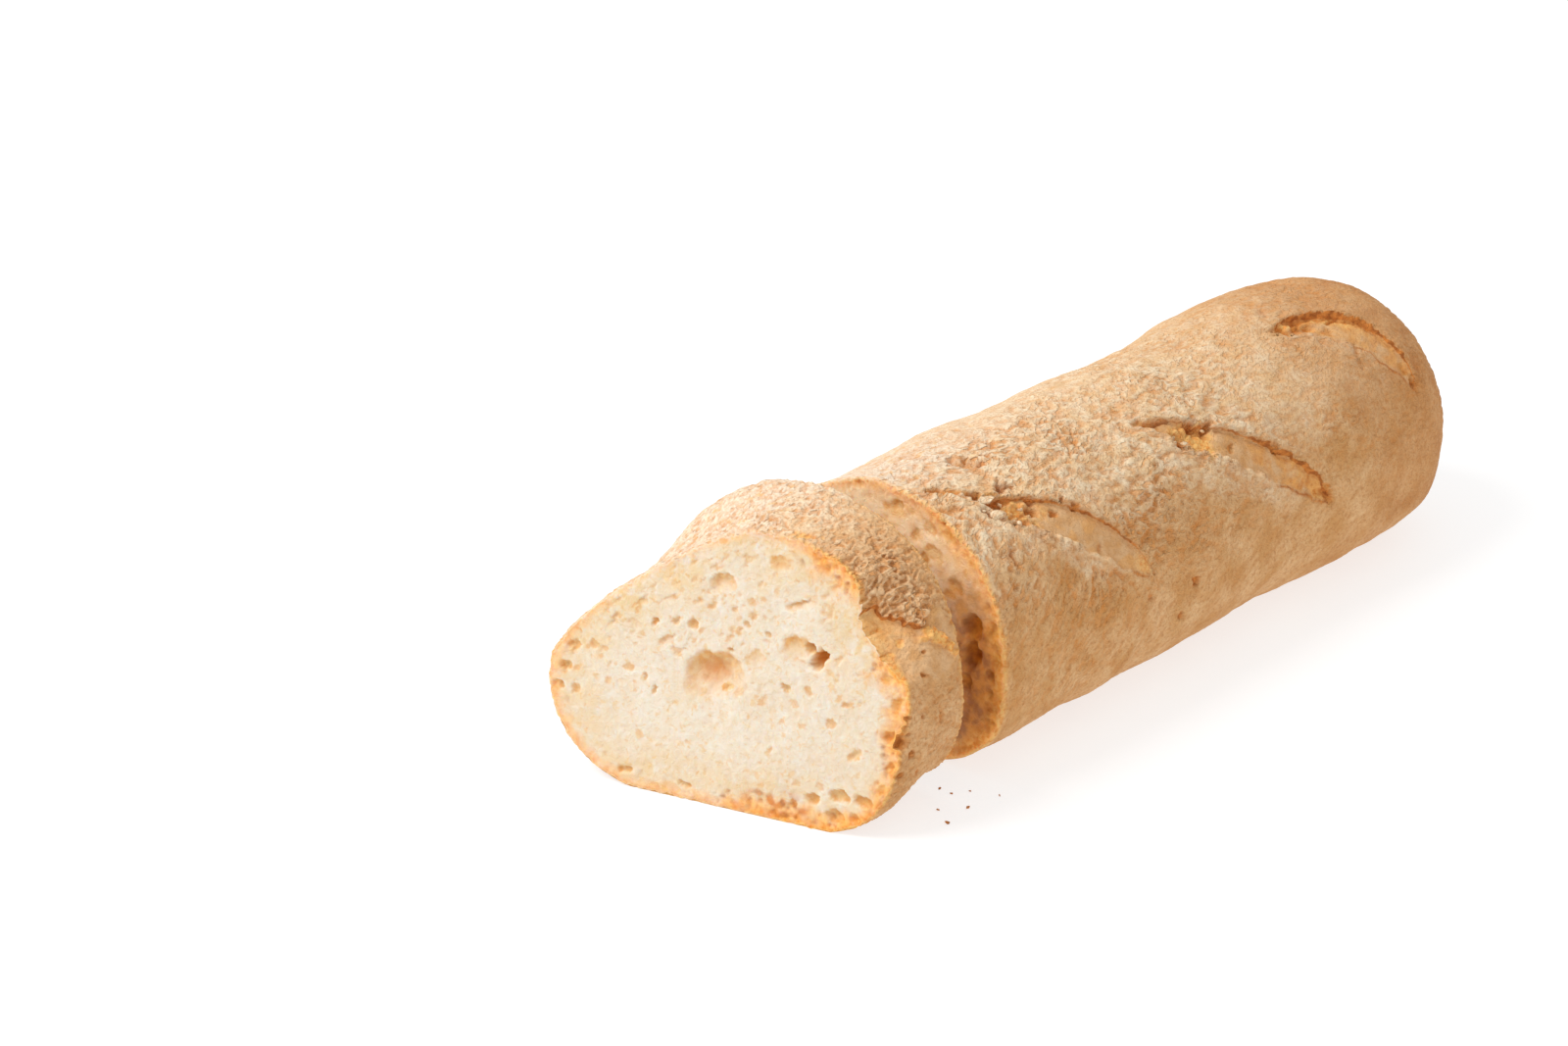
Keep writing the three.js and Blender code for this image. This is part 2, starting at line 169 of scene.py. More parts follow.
# Loose crumbs: (x, angle, size) on the skin and (x, y, size) on the floor
SKIN_CRUMBS = [
    (-45.4, 117.8, 1.5), (-45.3, 125.4, 1.5), (-42.7, 131.2, 0.7), (-31.8, 127.2, 0.5), (-43.6, 121.6, 0.6),
    (-47.8, 121, 0.5), (-40.2, 126.8, 0.6), (8.6, 131.6, 0.7), (15.2, 130.2, 0.6),
]
FLOOR_CRUMBS = [
    (-66, -26.4, 0.35), (-66.1, -29.4, 0.4), (-68.5, -35.2, 0.45), (-72.6, -31.6, 0.35), (-63.2, -31.4, 0.35),
    (-75.5, -36.2, 0.5), (-61, -36.4, 0.3),
]


def clamp01(t):
    return np.clip(t, 0.0, 1.0)


def smooth(value, low, high):
    """Smooth step from 0 at low to 1 at high."""
    t = clamp01((value - low) / (high - low))
    return t * t * (3 - 2 * t)


def fall(value, low, high):
    """Smooth step from 1 at low to 0 at high."""
    return 1 - smooth(value, low, high)


def between(value, low, full, spent, high):
    """Smooth hump: it rises from low to full and falls from spent to high."""
    return smooth(value, low, full) * fall(value, spent, high)


def bell(value, width):
    return np.exp(-((value / width) ** 2))


def mix(a, b, t):
    return a + (b - a) * t


def xyz(x, y=0, z=0):
    return np.stack(np.broadcast_arrays(x, y, z), -1)


def by_angle(*pairs):
    """A share that changes round the section: (degrees, share) pairs from 0 to 360."""
    degrees, values = zip(*pairs)
    return lambda angle: np.interp(angle, degrees, values)


# Gold of the rims of the cut faces, and warmth of their crumb
LOAF_GOLD = by_angle(
    (0, 0.4), (60, 0.2), (95, 0.6), (115, 0.85), (150, 0.85), (190, 0.85), (215, 0.95), (270, 0.6), (360, 0.4),
)
FRONT_GOLD = by_angle(
    (0, 0.55), (8, 0.45), (18, 0.25), (34, 0.1), (62, 0.1), (70, 0.16), (84, 0.2), (94, 0.3), (106, 0.5),
    (114, 1.0), (128, 1.0), (134, 0.2), (150, 0.12), (155, 0.4), (160, 1.0), (200, 0.8), (215, 0.9),
    (235, 1.0), (255, 0.9), (280, 0.5), (340, 0.45), (360, 0.55),
)
BACK_GOLD = by_angle((0, 0.5), (60, 0.2), (100, 0.4), (150, 0.7), (270, 0.7), (360, 0.5))
SLICE_WARMTH = by_angle(
    (0, 0.9), (30, 1.0), (90, 0.8), (120, 0.8), (150, 1.0), (170, 0.7), (200, 0.5), (230, 0.9), (270, 0.7),
    (360, 0.9),
)
LOAF_WARMTH = by_angle((0, 0.1), (360, 0.1))

# --- Noise ---
GRADIENTS = np.array(
    [(x, y, 0) for x in (-1, 1) for y in (-1, 1)]
    + [(x, 0, z) for x in (-1, 1) for z in (-1, 1)]
    + [(0, y, z) for y in (-1, 1) for z in (-1, 1)]
    + [(1, 1, 0), (-1, 1, 0), (0, -1, 1), (0, -1, -1)],
    float,
)


def hashed(cell, seed):
    """A scrambled 32-bit number for each lattice cell (N, 3)."""
    c = cell.astype(np.int64).astype(np.uint32)
    h = c[:, 0] * np.uint32(0x8DA6B343) ^ c[:, 1] * np.uint32(0xD8163841) ^ c[:, 2] * np.uint32(0xCB1AB31F)
    h ^= np.uint32((seed * 0x9E3779B1) & 0xFFFFFFFF)
    for shift, factor in ((15, 0x2C1B3C6D), (12, 0x297A2D39), (15, 1)):
        h = (h ^ (h >> np.uint32(shift))) * np.uint32(factor)
    return h


def noise(p, seed):
    """Gradient noise at points p (N, 3), roughly from -1 to 1."""
    cell = np.floor(p)
    f = p - cell
    fade = f * f * f * (f * (f * 6 - 15) + 10)
    total = np.zeros(len(p))
    for corner in np.ndindex(2, 2, 2):
        c = np.array(corner)
        gradient = GRADIENTS[hashed(cell + c, seed) & np.uint32(15)]
        weight = np.prod(np.where(c, fade, 1 - fade), axis=1)
        total += weight * ((f - c) * gradient).sum(1)
    return total * 1.25


def fractal(p, octaves, seed):
    return sum(0.5**k * noise(p * 2.0**k, seed + 17 * k) for k in range(octaves))


def nearest(p, seed):
    """Distance to the nearest of scattered points, one in each unit cell."""
    base = np.floor(p)
    best = np.full(len(p), FAR_OFF)
    for offset in np.ndindex(3, 3, 3):
        cell = base + np.array(offset) - 1
        h = hashed(cell, seed)
        jitter = np.stack([(h & 1023), (h >> 10) & 1023, (h >> 20) & 1023], 1) / 1024
        best = np.minimum(best, np.linalg.norm(cell + jitter - p, axis=1))
    return best


# --- The uncut bread ---
def section_at(x):
    along = clamp01((x - END_X + TIP_LENGTH) / TIP_LENGTH)
    round_ = (1 - along**TIP_POWER) ** (1 / TIP_POWER)
    lump = sum(rise * bell(x - place, spread) for place, rise, spread in LUMPS)
    slump, swell, front = smooth(-x, 5, 57), smooth(-x, 54, 72), smooth(-x, 70, 90)
    half = HALF_WIDTH + SLICE_WIDER * swell + lump
    slumped = slump * (1 - swell)
    return {
        "axis": AXIS_Y + SLICE_AXIS * swell,
        "far": (half + SLUMP * slumped + TOE * front) * round_,
        "near": half * round_,
        "rise": (HEIGHT - WIDEST_Z + SLICE_TALLER * swell - FRONT_LOWER * front + lump) * round_,
        "drop": (WIDEST_Z + SETTLE) * round_**DROP_POWER,
        "shoulder": mix(mix(UPPER_POWER, SLUMP_POWER, slumped), SHOULDER_POWER, front),
        "near_shoulder": mix(UPPER_POWER, NEAR_POWER, slump * (1 - front)),
        "heel": mix(LOWER_POWER, HEEL_POWER, front),
    }


def skin_point(x, angle):
    """Points of the uncut skin at x and angle (arrays of one shape)."""
    s = section_at(x)
    c, n = np.cos(np.radians(angle)), np.sin(np.radians(angle))
    far, upper = c > 0, n > 0
    above = np.where(far, s["shoulder"], s["near_shoulder"])
    power = 2 / np.where(upper, above, np.where(far, LOWER_POWER, s["heel"]))
    y = np.where(far, s["far"], s["near"]) * np.sign(c) * np.abs(c) ** power
    z = np.where(upper, s["rise"], s["drop"]) * np.sign(n) * np.abs(n) ** power
    return xyz(x, s["axis"] + y, np.maximum(0, WIDEST_Z + z))


def front_face_x(y, z):
    return FOOT_X - (y - FOOT_Y) * math.tan(TURN) + z * math.tan(LEAN) / math.cos(TURN)


def straight_cut(x):
    return lambda y, z: np.full(len(y), x)


def place_in_score(name, x, angle):
    """A score's own coordinates: part of its length, and mm across it from ear to near lip."""
    (x0, a0), (x1, a1), bow, _, _ = SCORES[name]
    run = ((x1 - x0), (a1 - a0) * MM_PER_DEGREE)
    dx, ds = x - x0, (angle - a0) * MM_PER_DEGREE
    square = run[0] ** 2 + run[1] ** 2
    along = (dx * run[0] + ds * run[1]) / square
    across = (ds * run[0] - dx * run[1]) / math.sqrt(square)
    return along, across + bow * 4 * along * (1 - along), math.sqrt(square)


# --- Grids ---
def evenly(count, values, weight):
    """count values spread over a fine list of them, closer together where weight is high."""
    total = np.concatenate([[0], np.cumsum(weight)])
    return np.interp(np.linspace(0, total[-1], count), total, values)


def ring_angles(x, count):
    """Angles round the section: even steps along its outline, finer on the side that shows."""
    angle = np.linspace(60, 420, 3601)
    step = np.linalg.norm(np.diff(skin_point(np.full_like(angle, x), angle), axis=0), axis=1)
    middle = (angle[1:] + angle[:-1]) / 2
    return evenly(count + 1, angle, step * (1 + 1.6 * between(middle, 62, 80, 200, 214)))[:-1]


def grid_normals(points):
    """Outward normals of a grid of rings (rings, count, 3), closed round each ring."""
    around = np.roll(points, -1, 1) - np.roll(points, 1, 1)
    n = np.cross(around, np.gradient(points, axis=0))
    return n / np.maximum(np.linalg.norm(n, axis=2, keepdims=True), 1e-9)


def skin_grid(x, angle):
    """A grid of skin points and its normals, then its points, x and angles as lists."""
    base = skin_point(x, angle)
    return base, grid_normals(base), base.reshape(-1, 3), x.ravel(), np.mod(angle.ravel(), 360)


def grid_faces(rings, count):
    k = np.arange(count)
    row = (np.arange(rings - 1) * count)[:, None]
    after = (k + 1) % count
    return np.stack([row + k, row + after, row + count + after, row + count + k], -1).reshape(-1, 4).tolist()


# --- Relief of the crust ---
def turned(dx, ds, degrees):
    c, n = math.cos(math.radians(degrees)), math.sin(math.radians(degrees))
    return dx * c + ds * n, -dx * n + ds * c


def more(shares, **values):
    """Raise shares to these values where they are lower."""
    for name, value in values.items():
        shares[name] = np.maximum(shares[name], value)


def marked(marks, x, angle, p, shares):
    """Lift that the marks give the skin; they also add to the shares."""
    lift = np.zeros(len(x))
    for k, (x0, a0, length, width, turn, deep, brown, gold) in enumerate(marks):
        near = np.nonzero((abs(x - x0) < 1.6 * length + 1) & (abs(angle - a0) < 3.2 * length + 5))[0]
        u, v = turned(x[near] - x0, (angle[near] - a0) * MM_PER_DEGREE, turn)
        wobble = 0.5 * noise(p[near], 500 + k) + 0.5 * noise(p[near] / 2.2, 540 + k)
        inside = clamp01((1 + wobble - np.sqrt((u / length) ** 2 + (v / width) ** 2)) * 2.2)
        lift[near] -= deep * inside * (1 + 0.35 * noise(p[near] / 0.8, 560 + k) * (deep < 0))
        for name, amount in (("pit", brown), ("gold", gold)):
            shares[name][near] = np.maximum(shares[name][near], amount * inside)
    return lift


def score_frame(name, x, angle, jag, near_part):
    """Where points lie in a score: part of its length, mm along and across it, how far it is open there,
    mm inside its ragged far edge and its near edge, and part of its width."""
    width = SCORES[name][3]
    along, across, length = place_in_score(name, x, angle)
    opening = np.clip(4 * along * (1 - along), 0, None) ** 0.6
    run = along * length
    line = xyz(run)
    ragged = jag * noise(line / 3.1 + 0.4, 31) + 0.3 * jag * noise(line / 1.3 + 0.6, 32)
    half, free = width / 2 * opening, clamp01(opening * 2)
    far_gap = across + half + ragged * free
    near_gap = near_part * half - across + 0.6 * noise(line / 2.2 + 0.3, 33) * free
    part = clamp01((across + half) / np.maximum(2 * half, 1e-6))
    return along, run, across, opening, far_gap, near_gap, part


def sunk_score(x, angle, p, shares):
    """Lift that the slice's score gives the skin, with the flap that hangs into it; it sets the shares."""
    along, run, across, opening, far_gap, near_gap, part = score_frame("slice", x, angle, 0.3, 1)
    inside = smooth(far_gap, -0.3, 0.9) * smooth(near_gap, -1.6, 1.4) * (opening > 0)
    deep = SCORES["slice"][4] * fall(along, *RUN_OUT)
    floor = deep * opening * (1 - (1 - part) ** SUNK_EDGE) * (1 - part**LATE_RISE) + 0.3 * fall(along, 0.6, 0.9)
    hanging = np.interp(along, *zip(*FLAP_EDGE)) + 0.45 * noise(p / 1.1, 35)
    under = across - hanging - 0.85 * noise(xyz(run / 1.9), 34)
    flap = fall(under, -0.1, 0.3)
    bare = inside * (1 - flap)
    more(shares, bare=bare)
    shares["gap"] = np.where(inside > 0.5, under, shares["gap"])
    shares["torn"] = np.where(inside > 0.5, 0.75 * smooth(along, 0.30, 0.36), shares["torn"])
    shares["yolk"] = bare * fall(along + 0.01 * across + 0.06 * noise(p / 2.6, 45), 0.5, 0.76)
    shares["cream"] = bare * fall(along - 0.012 * across, 0.4, 0.6)
    streak = noise(xyz(run / 5, across / 0.9), 41)
    warm = 0.9 * bell(along - 0.42, 0.06) * bell(under - 1.2, 1.8)
    more(shares, gold=bare * clamp01(warm + 0.3 * smooth(streak, 0.1, 0.6) * fall(under, 1.5, 5.0)))
    lift = inside * (1.1 * flap * smooth(across, -9.0, -5.0) + 0.25 * smooth(under, 0.4, 4.0) - floor)
    return lift + bare * (0.12 * streak + 0.14 * noise(p / 0.9, 47) + 0.1 * noise(p / 2.1, 48))


def open_scores(x, angle, p, shares):
    """Lift that the loaf's scores give the skin; they set the shares of bare floor, edges and cavities."""
    lift = np.zeros(len(x))
    for name, (jag, soft, ear, lipped, torn, singed, toasted) in OPEN_SCORES.items():
        along, run, across, opening, far_gap, near_gap, part = score_frame(name, x, angle, jag, 0.62)
        is_open = opening > 0
        inside = smooth(far_gap, -0.3 * soft, soft) * smooth(near_gap, -0.3, 0.5) * is_open
        dip = bell(clamp01(far_gap / 4) * 4, 1.1)
        floor = -0.6 * SCORES[name][4] * opening * (0.35 * (1 - part) + 0.65 * dip) - 0.25
        raised = np.where(far_gap < 0, clamp01(1 + far_gap / EAR_WIDTH) ** 2, 0) * opening
        brim = bell(near_gap + 0.5, 0.8) * opening**0.5 * is_open * lipped[0] * between(along, *lipped[1:])
        lift += ear * raised * (1 - inside) + inside * floor + 0.2 * brim
        lift += inside * 0.08 * noise(xyz(run / 1.1, across / 7), 39)
        singe = bell(near_gap, 1.6) * is_open * singed[0] * smooth(along, *singed[1:])
        toast = inside * toasted[0] * smooth(along, *toasted[1:])
        more(shares, bare=inside, brim=brim, singe=singe, toast=toast)
        shares["lip"] = np.where(is_open & (abs(near_gap) < abs(shares["lip"])), near_gap, shares["lip"])
        closest = is_open & (abs(far_gap) < abs(shares["gap"]))
        shares["gap"] = np.where(closest, far_gap, shares["gap"])
        wide = (torn[0] + torn[1] * smooth(along, *torn[2:])) * opening**0.4
        wide *= 0.85 + 0.5 * noise(xyz(run / 4), 36)
        shares["torn"] = np.where(closest, wide, shares["torn"])
        near_side = (near_gap < 0.2) * is_open
        dusted = clamp01(1 + near_gap / 5.5) * near_side * between(along, 0.02, 0.15, 0.6, 0.85)
        more(shares, floury=dusted**0.6 * (0.6 + 0.4 * smooth(noise(p / 3, 46), -0.4, 0.3)))
        if name == "c":  # a hollow along the far edge, and a cavity torn open at its start
            hollow = inside * fall(far_gap + 0.5 * noise(p / 1.6, 42), 1.3, 2.1)
            hollow *= between(along, 0.18, 0.3, 0.62, 0.75)
            cavity = inside * smooth(along, 0.03, 0.1) * fall(along + 0.03 * far_gap, 0.26, 0.46)
            cavity *= smooth(noise(p / 2.2, 49), -0.55, 0.15)
            lift -= 0.5 * (hollow + cavity)
            gold = inside * fall(far_gap + 0.8 * noise(p / 2.5, 44), 2.0, 4.4) * fall(along, 0.4, 0.75)
            # pit colour in the hollow under the ear and in the cavity: browned crust and painted shade under
            # the ear
            pit = np.maximum(0.65 * hollow, 0.8 * cavity)
            more(shares, pit=pit, gold=gold, rough=inside * fall(along, 0.16, 0.3))
            continue
        # torn floor at the start, golden floor at the tip, and pleats in the crust beside the near lip
        rough = inside * fall(along + 0.05 * noise(p / 2, 37), 0.26, 0.36)
        more(shares, rough=rough, gold=0.7 * inside * smooth(along, 0.84, 0.95))
        pleat = clamp01(1 + near_gap / 4.5) * near_side * between(along, 0.0, 0.1, 0.5, 0.75)
        folds = clamp01(abs(noise(xyz(run / 1.35 + 0.1 * across, across / 6, 3), 38)) / 0.45)
        lift += pleat * 0.75 * (folds - 0.4)
        more(shares, crease=pleat * (1 - folds) ** 2)
    return lift


def plates(x, s, size, long, flat, seed):
    """Puffed flakes with short creases between them: height and crease, 0 to 1.

    Where flat is 1 they lie along the bread, sinking a little towards its near side; where it is 0
    they run up over the flank.
    """
    at = xyz(x, s)
    slow = at / (size * 2.4)
    bend = 0.7 * xyz(noise(slow, seed + 20), noise(slow, seed + 21))
    total, weights = 0, 0
    for k, (degrees, along) in enumerate(((18, 1), (-12, 1), (48, 0.5), (-46, 0), (-75, 0))):
        u, v = turned(x, s, degrees)
        fit = 1 - abs(along - flat)
        weight = np.exp(4.0 * fit + 2.2 * noise(at / 9 + 31.7 * (k + 1), seed + k))
        q = xyz(u / (size * long), v / size, 7.3 * k) + bend
        total = total + weight * noise(q, seed + 10 + k)
        weights = weights + weight**2
    level = total / np.sqrt(weights)
    return smooth(level, -0.42, 0.18), smooth(-level, 0.16, 0.42)


SKIN_SHARES = "bare torn brim singe toast rough pit gold floury yolk crease cream".split()


def crust_relief(scores, marks, x, angle, p, crackled, flat, size, long):
    """Lift of the skin in mm and the shares that drive its colours."""
    shares = {key: np.zeros(len(x)) for key in SKIN_SHARES}
    shares["gap"], shares["lip"] = np.full(len(x), FAR_OFF), np.full(len(x), FAR_OFF)
    lift = scores(x, angle, p, shares)
    amount = crackled * (1 - 0.92 * shares["bare"])
    s = np.mod(angle + 90, 360) * MM_PER_DEGREE
    coarse, crease = plates(x, s, size, long, flat, 40)
    fine, _ = plates(x, s, 0.66 * size, 1.3, flat, 140)
    swell = 0.5 * noise(p / 17, 60) + 0.24 * noise(p / 7, 61) + 0.16 * amount * noise(p / 3.2, 64)
    lift += swell * (1 - 0.5 * shares["bare"])
    lift += amount * (0.46 * (coarse - 0.6) + 0.22 * (fine - 0.6) + 0.24 * noise(p / 3.4, 66))
    lift += (0.03 + 0.05 * crackled) * fractal(p / 0.9, 2, 62)
    rough = shares.pop("rough")
    hollow = smooth(noise(p / 2.3, 70), 0.05, 0.4)
    lift += rough * (0.45 * noise(p / 1.8, 71) + 0.2 * noise(p / 0.9, 72) - 0.8 * hollow - 0.1)
    # brown pit colour in the hollows of the torn floor: browned crust and painted shade
    more(shares, pit=0.75 * rough * hollow, gold=0.8 * rough * smooth(noise(p / 3, 73), -0.3, 0.3))
    lift += marked(marks, x, angle, p, shares)
    more(shares, crease=amount * crease)
    shares["crackle"], shares["flat"] = amount, flat
    return lift, shares


def lifted_skin(base, normals, lift, angle, p, shares):
    """The skin's grid moved by its lift, never out of its flat underside, which is baked browner."""
    base_end = fall(angle + 8 * noise(p / 5, 85), 306, 326)
    shares["base"] = 0.8 * smooth(angle + 8 * noise(p / 5, 84), 216, 234) * base_end
    lift = mix(lift, np.minimum(lift, 0), between(angle, 222, 240, 300, 318))
    return base + normals * lift.reshape(base.shape[:2])[..., None]


# --- Cut faces ---
def edge_distance(pts, outline):
    """Distance of each point from a closed outline."""
    best = np.full(len(pts), 1e9)
    for a, b in zip(outline, np.roll(outline, -1, 0)):
        d = b - a
        t = clamp01(((pts - a) @ d) / max(d @ d, 1e-12))
        best = np.minimum(best, np.linalg.norm(pts - a - t[:, None] * d, axis=1))
    return best


TRIANGLE_ROW = 0.866  # height of a triangle with sides of 1


def face_points(outline, spacing, seed):
    """Points inside a closed outline (N, 2), about one spacing apart, clear of the outline."""
    rng = np.random.default_rng(seed)
    low, high = outline.min(0), outline.max(0)
    rows = np.arange(low[1], high[1], spacing * TRIANGLE_ROW)
    u, v = np.meshgrid(np.arange(low[0], high[0], spacing), rows)
    u = u + (np.arange(len(rows)) % 2)[:, None] * spacing / 2
    pts = np.stack([u.ravel(), v.ravel()], 1) + rng.uniform(-0.2, 0.2, (u.size, 2)) * spacing
    inside = np.zeros(len(pts), bool)
    for (ax, ay), (bx, by) in zip(outline, np.roll(outline, -1, 0)):
        if ay != by:
            crosses = (ay > pts[:, 1]) != (by > pts[:, 1])
            inside ^= crosses & (pts[:, 0] < (bx - ax) * (pts[:, 1] - ay) / (by - ay) + ax)
    pts = pts[inside]
    return pts[edge_distance(pts, outline) > spacing * 0.55]


def dented(pts, bubbles):
    """Depth in mm and share of the painted shade in cut bubbles."""
    depth, share = np.zeros(len(pts)), np.zeros(len(pts))
    for kind, rows in bubbles.items():
        steep = 0.6 if kind.startswith("sharp") else 1.1
        for u, v, ru, rv, turn, deep in rows:
            reach = max(ru, rv) * 1.05
            near = np.nonzero((abs(pts[:, 0] - u) < reach) & (abs(pts[:, 1] - v) < reach))[0]
            d = pts[near] - (u, v)
            c, s = math.cos(turn), math.sin(turn)
            r2 = ((d[:, 0] * c + d[:, 1] * s) / ru) ** 2 + ((-d[:, 0] * s + d[:, 1] * c) / rv) ** 2
            bowl = np.clip(1 - r2, 0, None)
            dent = (0.55 + 0.15 * (deep > 2)) * deep * bowl**steep
            # painted shade inside the bubble, warm and golden
            hole_shade = clamp01(bowl * 3.5) * clamp01(0.5 + deep / 2.5)
            # a shaded bubble is deeper under its upper edge, and its painted shade is gathered there
            if kind.endswith("shaded"):
                lean = clamp01(0.45 + 0.65 * (d[:, 1] + 0.4 * d[:, 0]) / rv)
                dent, hole_shade = dent * (0.06 + 1.1 * lean), hole_shade * (0.05 + 1.0 * lean)
            depth[near] = np.maximum(depth[near], dent)
            share[near] = np.maximum(share[near], hole_shade)
    return depth, share


def with_small(bubbles, outline, count, low, high, seed, sharp_share):
    """The bubbles with scattered ones added: random sizes, mostly small, fewer low down."""
    rng = np.random.default_rng(seed)
    lo, hi = outline.min(0), outline.max(0)
    small = {"sharp small": [], "soft small": []}
    for _ in range(count):
        u, v = rng.uniform(lo, hi)
        r = low + (high - low) * rng.random() ** 3.2
        stretch = rng.uniform(1.0, 1.9)
        sharp = rng.random() < sharp_share
        deep = r * (rng.uniform(0.7, 1.1) if sharp else rng.uniform(0.2, 0.4))
        turn = rng.normal(-0.5, 0.35)
        if rng.random() < 0.35 + 0.65 * smooth(v, 12, 32):
            small["sharp small" if sharp else "soft small"].append((u, v, r * stretch, r, turn, deep))
    return {**bubbles, **small}


def strands(p, c, s, stretch):
    """Coordinates drawn out along the strands of the crumb, which rise towards the near side."""
    return xyz(p[:, 0] / 3, (-c * p[:, 1] + s * p[:, 2]) / stretch, s * p[:, 1] + c * p[:, 2])


def cut_face(
    ring, ring_index, offset, plane_x, spacing, bubbles, small, outward, seed, golden, warm, torn=1.0, aside=0.0
):
    """A cut face within its ring of outline points: new points with their shares, and triangles."""
    outline = ring[:, 1:]
    bubbles = with_small(bubbles, outline, *small)
    inner = face_points(outline, spacing, seed)
    corners = [Vector(v) for v in np.concatenate([outline, inner])]
    _, _, tris, origin, _, _ = delaunay_2d_cdt(corners, [], [list(range(len(outline)))], 1, 1e-7)
    index = np.concatenate([ring_index, offset + np.arange(len(inner))])
    tris = index[np.array([source[0] for source in origin])[np.array(tris)]]
    y, z = inner.T
    to_edge = edge_distance(inner, outline)
    p = xyz(plane_x(y, z), y, z)
    wander = np.stack([noise(p / 1.6, seed), noise(p / 1.6, seed + 1)], 1)
    wobble = np.stack([noise(p / 0.6, seed + 8), noise(p / 0.6, seed + 9)], 1)
    depth, hole = dented(inner + 0.45 * wander + 0.2 * wobble, bubbles)
    angle = np.mod(np.degrees(np.arctan2((z - WIDEST_Z) / 30, (y - AXIS_Y - aside) / 31)), 360)
    # pores and specks drawn out along the strands, and streaks behind the far shoulder
    drawn, bend = strands(p, 0.85, 0.5, 1.75), wander[:, :1]
    airy = 0.3 + 0.7 * smooth(z + 0.2 * abs(y) + 5 * noise(p / 8, seed + 16), 16, 34)
    specks = airy * smooth(noise(drawn / 0.62, seed + 11), 0.42, 0.8)
    pores = smooth(noise(drawn / 1.25 + 0.25 * bend, seed + 10), 0.42, 0.7)
    pores *= airy * smooth(noise(p / 6, seed + 14), -0.4, 0.4)
    skinward = between(angle, 8, 30, 84, 100) * smooth(to_edge, 0.5, 1.6)
    skinward *= fall(to_edge + 2 * noise(p / 5, seed + 17), 5, 10)
    streaks = smooth(noise(strands(p, 0.8, 0.6, 4.0) / 0.8 + 0.2 * bend, seed + 18), 0.3, 0.6)
    pores = np.maximum(pores, streaks * skinward)
    # fine foam
    foam, patchy = clamp01(1 - nearest(p / 1.15, seed + 4) / 0.62), smooth(noise(p / 5, seed + 6), -0.3, 0.5)
    relief = 0.06 * foam * (0.4 + 0.9 * patchy) + 0.04 * clamp01(1 - nearest(p / 0.62, seed + 5) / 0.6)
    relief = torn * (relief + 0.08 * fractal(p / 1.6, 3, seed + 2))
    relief += (torn - 1) * 0.3 * noise(drawn / 2.6, seed + 15)
    relief += 0.32 * noise(p / 9, seed + 3) + 0.22 * pores + 0.05 * specks
    inward = -outward * smooth(to_edge, 0.0, 0.9)
    p[:, 0] += inward * (depth + relief)
    # golden rim, with burst blisters where it is strong and a baked corner at the near foot
    strength = golden(angle)
    reach = (0.4 + 3.2 * strength) * (1 + 0.55 * noise(p / 2.6, seed + 7))
    gold = clamp01(1.15 - to_edge / np.maximum(reach, 0.1)) ** 0.8 * (0.15 + 0.85 * strength)
    gold *= 0.7 + 0.3 * smooth(noise(p / 2.2, seed + 19), -0.3, 0.2)
    burst = clamp01(1.3 - nearest(p / 1.9 + 0.3 * bend, seed + 12) / 0.34)
    burst *= smooth(strength, 0.3, 0.75) * between(to_edge, 0.4, 0.9, 2.6, 4.2)
    burst *= smooth(noise(p / 4, seed + 13), -0.45, 0.0)
    p[:, 0] += inward * 0.4 * burst
    baked = smooth(noise(p / 1.7, seed + 20), -0.1, 0.35) * between(angle, 222, 234, 250, 262)
    baked *= fall(to_edge + noise(p / 2.5, seed + 21), 2.8, 6.4)
    rim_line = clamp01(1 - to_edge / 0.6) * (0.1 + 0.7 * strength)
    # hole and deep: painted shade in bubbles, pores and specks, warmer in the deepest bubbles
    shares = {
        "warmth": warm(angle) * fall(to_edge + 4 * noise(p / 8, seed + 22), 1, 12),
        "hole": np.maximum.reduce([hole, 0.6 * pores, 0.15 * specks]),
        "deep": clamp01((depth - 1.0) / 1.3),
        "gold": gold,
        "foam": foam * patchy,
        "line": np.maximum.reduce([rim_line, 0.6 * burst, 0.9 * baked]),
    }
    return p, shares, (tris[:, ::-1] if outward < 0 else tris).tolist()


def make_piece(name, groups, skin_faces, cut_faces, materials):
    """A closed mesh from groups of points and their shares, a share being 0 where a group has none."""
    points = np.concatenate([p for p, _ in groups])
    mesh = bpy.data.meshes.new(name)
    mesh.from_pydata((points * MM).tolist(), [], skin_faces + cut_faces)
    mesh.validate()
    for material in materials:
        mesh.materials.append(material)
    indices = np.repeat([0, 1], [len(skin_faces), len(cut_faces)])
    mesh.polygons.foreach_set("material_index", indices.astype(np.int32))
    mesh.polygons.foreach_set("use_smooth", np.ones(len(mesh.polygons), bool))
    for key in sorted({key for _, shares in groups for key in shares}):
        values = np.concatenate([shares.get(key, np.zeros(len(p))) for p, shares in groups])
        mesh.attributes.new(key, "FLOAT", "POINT").data.foreach_set("value", values.astype(np.float32))
    obj = bpy.data.objects.new(name, mesh)
    bpy.context.scene.collection.objects.link(obj)
    return obj


